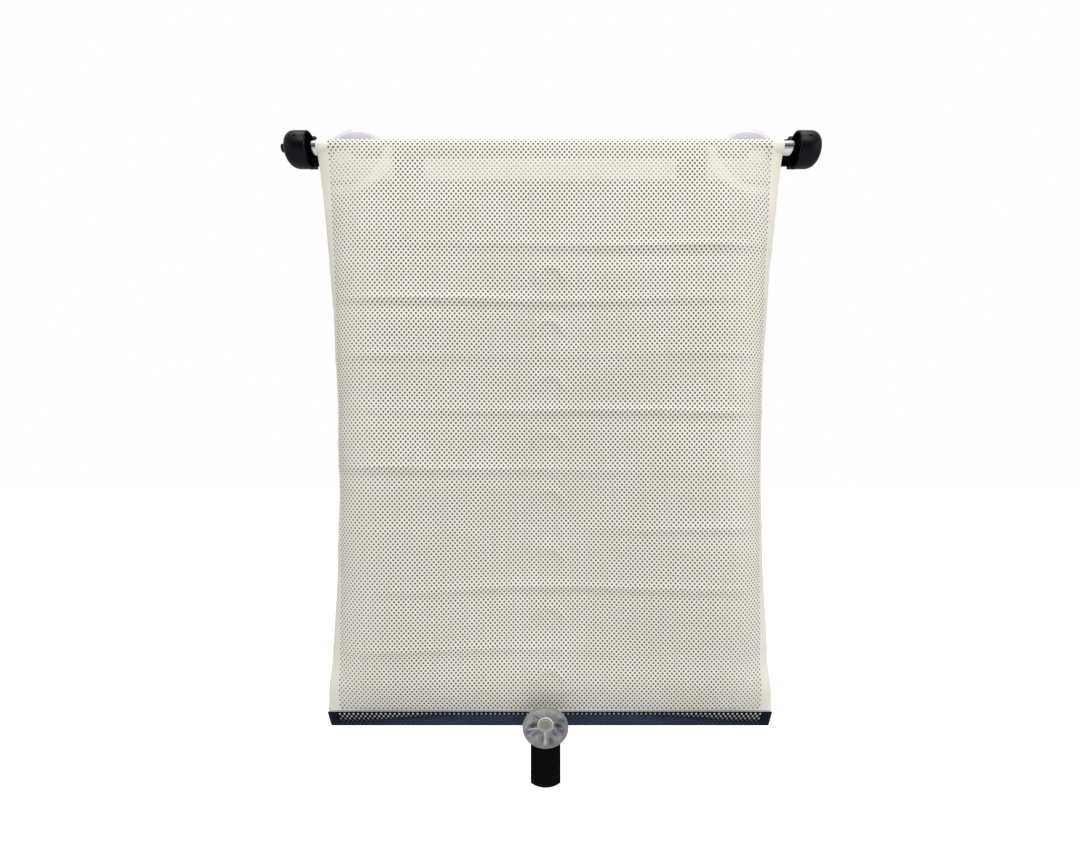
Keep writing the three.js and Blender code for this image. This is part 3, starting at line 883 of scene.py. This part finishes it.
def make_cap(name, node, side, finishes):
    """A domed cup with a block for the rail's end and a pip in front."""
    low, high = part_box(node)
    length = (high.x - low.x) / MM
    centre = (CAP_ROUND, CAP_RADIUS - CAP_ROUND)
    inner = CAP_RADIUS - CAP_WALL
    profile = [
        *arc(centre, CAP_ROUND, 178, 90, 16),
        (length - 0.5, CAP_RADIUS), (length - 0.15, CAP_RADIUS - 0.15), (length, CAP_RADIUS - 0.5),
        (length, inner + 0.3), (length - 0.3, inner),
        *arc(centre, CAP_ROUND - CAP_WALL, 90, 178, 12),
    ]
    outer_face = (low.x if side < 0 else high.x, ROLLER_Y * MM, -CAP_DROP * MM)
    cap = turned(name, [(a * -side, r) for a, r in profile], place=outer_face)

    rail_low, rail_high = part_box("back_rail")
    in_front, behind, above = (wall * MM for wall in SOCKET_WALLS)
    rim = high.x if side < 0 else low.x
    x_low, x_high = sorted((rim, rim + side * SOCKET_LENGTH * MM))
    socket = block(
        "socket", (x_low, rail_low.y - in_front, rail_low.z - above),
        (x_high, rail_high.y + behind, rail_high.z + above), 0.0006,
    )
    combine(cap, socket, "UNION")
    x_low, x_high = sorted((rim - side * 0.002, rim + side * SOCKET_DEPTH * MM))
    gap = SOCKET_GAP * MM
    pocket = block(
        "pocket", (x_low, rail_low.y - gap, rail_low.z - gap),
        (x_high, rail_high.y + gap, rail_high.z + gap), 0.0001, 1,
    )
    combine(cap, pocket, "DIFFERENCE")

    pip = (
        outer_face[0] - side * PIP_INSET * MM,
        (ROLLER_Y - CAP_RADIUS * math.cos(PIP_TURN)) * MM,
        (CAP_RADIUS * math.sin(PIP_TURN) - CAP_DROP) * MM,
    )
    deselect()
    bpy.ops.mesh.primitive_uv_sphere_add(
        segments=24, ring_count=12, radius=PIP_RADIUS * MM, location=pip,
    )
    combine(cap, bpy.context.object, "UNION")
    smooth(cap, 30)
    cap.data.materials.clear()
    cap.data.materials.append(finishes["black"])
    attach(cap, "frame")
    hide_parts(node)


def make_bearings(finishes):
    """The hubs inside the caps, and the button with its dished end."""
    start = left_low.x / MM
    hub = turned(
        "left_hub",
        [
            (0.9, 3.8), (0.9, 5.2), (10, 5.2), (10, 3.4), (10.4, 3.0),
            (17.4, 3.0), (17.7, 2.7), (17.7, 2.3), (9, 2.3), (9, 3.8),
        ],
        place=(left_low.x, ROLLER_Y * MM, 0), sides=64, loop=True,
    )
    end = right_high.x
    boss = turned(
        "right_boss",
        [(-0.9, 0), (-0.9, 5.2), (-11.6, 5.2), (-12, 4.8), (-12, 2.8), (-3.2, 2.8), (-3.2, 0)],
        place=(end, ROLLER_Y * MM, 0), sides=64,
    )
    for piece in (hub, boss):
        smooth(piece)
        piece.data.materials.append(finishes["black"])
        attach(piece, "frame")

    button_low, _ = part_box("release_button")
    head = 3.5
    proud = start - button_low.x / MM
    profile = [
        (-proud + 0.5, 0), (-proud + 0.5, 1.6), (-proud + 0.1, 2.2), (-proud, 2.7),
        (-proud + 0.25, 3.2), (-proud + 0.8, head), (-0.6, head), (-0.3, head - 0.25),
        (0.2, head - 0.25), (0.5, head), (3.3, head), (3.5, 3.3),
        (3.5, 1.3), (21, 1.3), (21.2, 2.0), (22, 1.3), (22, 0),
    ]
    nub = turned("button_nub", profile, place=(left_low.x, ROLLER_Y * MM, 0), sides=64)
    smooth(nub)
    nub.data.materials.append(finishes["black"])
    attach(nub, "button")
    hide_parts("release_button")


def make_strip(finishes):
    """The pale strip behind the film, its ends just inside the film's edges."""
    low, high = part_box("backing_strip")
    inset = Vector((STRIP_INSET, 0, 0))
    strip = block("pale_strip", low + inset, high - inset, 0.0003, 2)
    smooth(strip)
    strip.data.materials.append(finishes["pale"])
    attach(strip, "frame")
    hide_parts("backing_strip")


# Suction cups

def cup_rings(radius, lip, width, hollow, hub, hub_end, neck, neck_end, head, thick, face):
    """Rings of a cup from its hub's inner face, round the lip, to the knob on its neck."""
    flat = radius - width
    return [
        (face, 0), (face, 0.4), (face, 4.2), (face - 0.5, 4.7), (face - 0.5, 5.3), (face, 5.8),
        (face, hub - 0.6), (face + 0.3, hub), ((hollow + face) / 2 + 0.2, hub + 0.6),
        (hollow * 0.80, radius * 0.48), (hollow * 0.42, radius * 0.72),
        (0.25, flat - 0.4), (0, flat), (0, radius - 0.3), (lip * 0.5, radius), (lip, radius - 0.3),
        (lip + hollow * 0.42, radius * 0.76), (lip + hollow * 0.86, radius * 0.48),
        (lip + hollow, hub + 0.3), (lip + hollow + 0.5, hub),
        (hub_end - 0.3, hub), (hub_end, hub - 0.3), (hub_end, neck + 0.5), (hub_end + 0.4, neck),
        (neck_end - 0.2, neck), (neck_end, neck + 0.3), (neck_end, head - 0.3),
        (neck_end + thick * 0.4, head), (neck_end + thick * 0.8, head * 0.85),
        (neck_end + thick, head * 0.55), (neck_end + thick, 0.4), (neck_end + thick, 0),
    ]


def make_cup(name, node, rings, place, tilt, body, finish):
    cup = turned(name, rings, axis="Y", sides=48)
    cup.rotation_euler = (tilt, 0, 0)
    cup.location = place
    settle(cup)
    modifier(cup, "SUBSURF", levels=2, render_levels=2)
    cup.data.shade_smooth()
    cup.data.materials.append(finish)
    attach(cup, body)
    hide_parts(node)


def make_cups(finishes):
    rail_low, rail_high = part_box("back_rail")
    hub_end = -rail_high.y / MM - 0.3
    neck_end = -rail_low.y / MM + 0.3
    rings = cup_rings(
        radius=30, lip=1.2, width=3, hollow=5, hub=7, hub_end=hub_end,
        neck=3.6, neck_end=neck_end, head=8.5, thick=2, face=4,
    )
    for side in ("left", "right"):
        node = f"{side}_suction_cup"
        low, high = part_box(node)
        middle = ((low.x + high.x) / 2, 0, (low.z + high.z) / 2)
        make_cup(f"{side}_top_cup", node, rings, middle, math.pi, "frame", finishes["clear"])

    tilt = HEM_CUP_TILT
    hub, gap, stand_off, hollow, lip, head = 7, 0.3, 2.4, 5.9, 0.9, 4.6
    thickness = (hem_high.y - hem_low.y) / MM
    hub_end = hollow + lip + stand_off
    to_middle = hub_end + (thickness / 2 + hub * math.tan(tilt) + gap) / math.cos(tilt)
    neck_end = hub_end + (thickness + (hub + head) * math.tan(tilt) + 2 * gap) / math.cos(tilt)
    rings = cup_rings(
        radius=20.5, lip=lip, width=1.2, hollow=hollow, hub=hub, hub_end=hub_end,
        neck=1.8, neck_end=neck_end, head=head, thick=1.2, face=3.4,
    )
    forward, down = to_middle * math.cos(tilt), to_middle * math.sin(tilt)
    place = (HEM_CUP[0], (HEM_Y - forward) * MM, (HEM_CUP_Z - down) * MM)
    make_cup("hem_cup", "bottom_suction_cup", rings, place, tilt, "hem", finishes["smoky"])


# Pull tab

def make_tab(finishes):
    """A flat strap with a rounded end, hanging from inside the hem."""
    low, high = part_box("pull_tab")
    half = 13.5 * MM
    middle_x = (low.x + high.x) / 2
    corner = 4.5 * MM
    deselect()
    bpy.ops.mesh.primitive_plane_add(size=1, location=(0, 0, 0))
    tab = bpy.context.object
    tab.name = "pull_strap"
    straight = high.z - low.z - corner
    tab.scale = (2 * half, straight, 1)
    settle(tab)
    tab.location = (0, -straight / 2, 0)
    settle(tab)
    bpy.ops.object.mode_set(mode="EDIT")
    bpy.ops.mesh.select_all(action="DESELECT")
    bpy.ops.object.mode_set(mode="OBJECT")
    for vertex in tab.data.vertices:
        vertex.select = vertex.co.y < -straight / 2
    for edge in tab.data.edges:
        edge.select = all(tab.data.vertices[v].select for v in edge.vertices)
    bpy.ops.object.mode_set(mode="EDIT")
    bpy.ops.mesh.select_mode(type="EDGE")
    steps = 12
    radius = (half ** 2 + corner ** 2) / (2 * corner)
    width = half
    y = 0.0
    for i in range(1, steps + 1):
        reach = math.asin(half / radius) * (1 - i / steps)
        next_width = max(radius * math.sin(reach), half * 0.02)
        next_y = radius * math.cos(reach) - (radius - corner)
        bpy.ops.mesh.extrude_region_move(TRANSFORM_OT_translate={"value": (0, y - next_y, 0)})
        ratio = next_width / width
        bpy.ops.transform.resize(value=(ratio, 1, 1), center_override=(0, 0, 0))
        width, y = next_width, next_y
    bpy.ops.object.mode_set(mode="OBJECT")
    tab.rotation_euler = (math.pi / 2, 0, 0)
    tab.location = (middle_x, (low.y + high.y) / 2, high.z)
    settle(tab)
    modifier(tab, "SOLIDIFY", thickness=high.y - low.y, offset=0)
    corners = math.radians(50)
    modifier(tab, "BEVEL", width=0.0003, segments=3, limit_method="ANGLE", angle_limit=corners)
    smooth(tab, 40)
    tab.data.materials.append(finishes["strap"])
    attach(tab, "hem")
    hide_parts("pull_tab")


# Studio

CAMERA_PLACE = (0, -0.513, -0.262)
LENS = 18.7  # on a sensor 36 mm wide
PHOTO_WIDTH = 1080  # pixels
SHIFT_RIGHT = -10  # of the view's middle, in the photograph's pixels
SHIFT_UP = 18


def make_camera():
    data = bpy.data.cameras.new("camera")
    data.lens = LENS
    data.sensor_width = 36
    data.shift_x = SHIFT_RIGHT / PHOTO_WIDTH
    data.shift_y = SHIFT_UP / PHOTO_WIDTH
    camera = bpy.data.objects.new("camera", data)
    camera.location = CAMERA_PLACE
    camera.rotation_euler = (math.pi / 2, 0, 0)
    bpy.context.scene.collection.objects.link(camera)
    bpy.context.scene.camera = camera
    bpy.context.scene.view_settings.view_transform = "Standard"


def make_world():
    world = bpy.data.worlds.new("studio")
    world.use_nodes = True
    bpy.context.scene.world = world
    nodes, links = world.node_tree.nodes, world.node_tree.links
    background = nodes["Background"]
    path = nodes.new("ShaderNodeLightPath")
    seen = nodes.new("ShaderNodeMath")
    seen.operation = "MAXIMUM"
    links.new(path.outputs["Is Camera Ray"], seen.inputs[0])
    links.new(path.outputs["Is Transmission Ray"], seen.inputs[1])
    direction = nodes.new("ShaderNodeTexCoord").outputs["Generated"]
    squares = nodes.new("ShaderNodeVectorMath")
    squares.operation = "MULTIPLY"
    links.new(direction, squares.inputs[0])
    links.new(direction, squares.inputs[1])
    light = nodes.new("ShaderNodeVectorMath")
    light.operation = "DOT_PRODUCT"
    light.inputs[1].default_value = (0.55, 0, 0.75)  # from the sides, and from above and below
    links.new(squares.outputs["Vector"], light.inputs[0])
    room = nodes.new("ShaderNodeMix")
    room.data_type = "RGBA"
    room.inputs[6].default_value = (0.02, 0.021, 0.024, 1)
    room.inputs[7].default_value = (1.0, 1.0, 1.01, 1)
    links.new(light.outputs["Value"], room.inputs[0])
    shade = nodes.new("ShaderNodeMix")
    shade.data_type = "RGBA"
    shade.inputs[7].default_value = (1, 1, 1, 1)
    links.new(seen.outputs[0], shade.inputs[0])
    links.new(room.outputs[2], shade.inputs[6])
    links.new(shade.outputs[2], background.inputs["Color"])
    background.inputs["Strength"].default_value = 1.0


def make_lamp(name, place, aim, size, power):
    data = bpy.data.lights.new(name, "AREA")
    data.shape = "RECTANGLE"
    data.size, data.size_y = size
    data.energy = power
    lamp = bpy.data.objects.new(name, data)
    lamp.location = place
    lamp.rotation_euler = (Vector(aim) - Vector(place)).to_track_quat("-Z", "Y").to_euler()
    bpy.context.scene.collection.objects.link(lamp)


def make_floor():
    deselect()
    bpy.ops.mesh.primitive_plane_add(size=30, location=(0, 0, -1.3))
    floor = bpy.context.object
    floor.name = "studio_floor"
    finish = Finish("floor_white")
    seen = finish.node("ShaderNodeLightPath", output="Is Camera Ray")
    tone = finish.noise(finish.place(), 1.5, 2) * 0.02 + 0.93
    color = finish.node("ShaderNodeCombineColor", Red=tone, Green=tone, Blue=tone)
    finish.set(
        Base_Color=color, Roughness=0.9, Emission_Color=(1, 1, 1), Emission_Strength=seen * 0.7,
    )
    floor.data.materials.append(finish.material)


def dress_solids(finishes):
    """Finishes for the solids that stay as they are."""
    kinds = {
        "black": (
            "back_rail", "left_rail_clip", "right_rail_clip",
            "left_end_plug", "right_end_plug", "spring_anchor",
        ),
        "steel": (
            "mandrel_rod", "power_spring", "button_spring", "brake_pin", "brake_disc", "hem_bar",
        ),
        # film_turns shows through the roll's holes, dark as painted shade.
        "lining": ("film_turns",),
    }
    for key, names in kinds.items():
        for name in names:
            node = frame["nodes"][name]
            node.data.materials.clear()
            node.data.materials.append(finishes[key])


finishes = {
    "cream": cream_vinyl(),
    "lining": lining_with_painted_light(),
    "navy": navy_vinyl(),
    "hem": hem_navy(),
    "hem_inside": hem_inside(),
    "black": moulded_black(),
    "strap": strap_black(),
    "chrome": bright_chrome(),
    "steel": plain_steel(),
    "clear": clear_vinyl(),
    "smoky": smoky_vinyl(),
    "pale": pale_plastic(),
}
make_camera()
make_world()
make_lamp("key", (0.1, -1.7, 1.5), (0, 0, -0.15), (1.6, 1.0), 35)
make_lamp("right_fill", (1.5, -1.3, -0.1), (0, 0, -0.3), (1.2, 1.6), 11)
make_lamp("left_fill", (-1.5, -1.3, -0.1), (0, 0, -0.3), (1.2, 1.6), 5)
make_lamp("top", (0.0, -0.25, 1.3), (0, -0.02, 0), (1.4, 0.7), 12)
make_floor()
dress_solids(finishes)
make_film(finishes)
make_roll(finishes)
make_hem(finishes)
make_tube(finishes)
make_cap("left_cap", "left_end_cap", -1, finishes)
make_cap("right_cap", "right_end_cap", 1, finishes)
make_bearings(finishes)
make_strip(finishes)
make_cups(finishes)
make_tab(finishes)
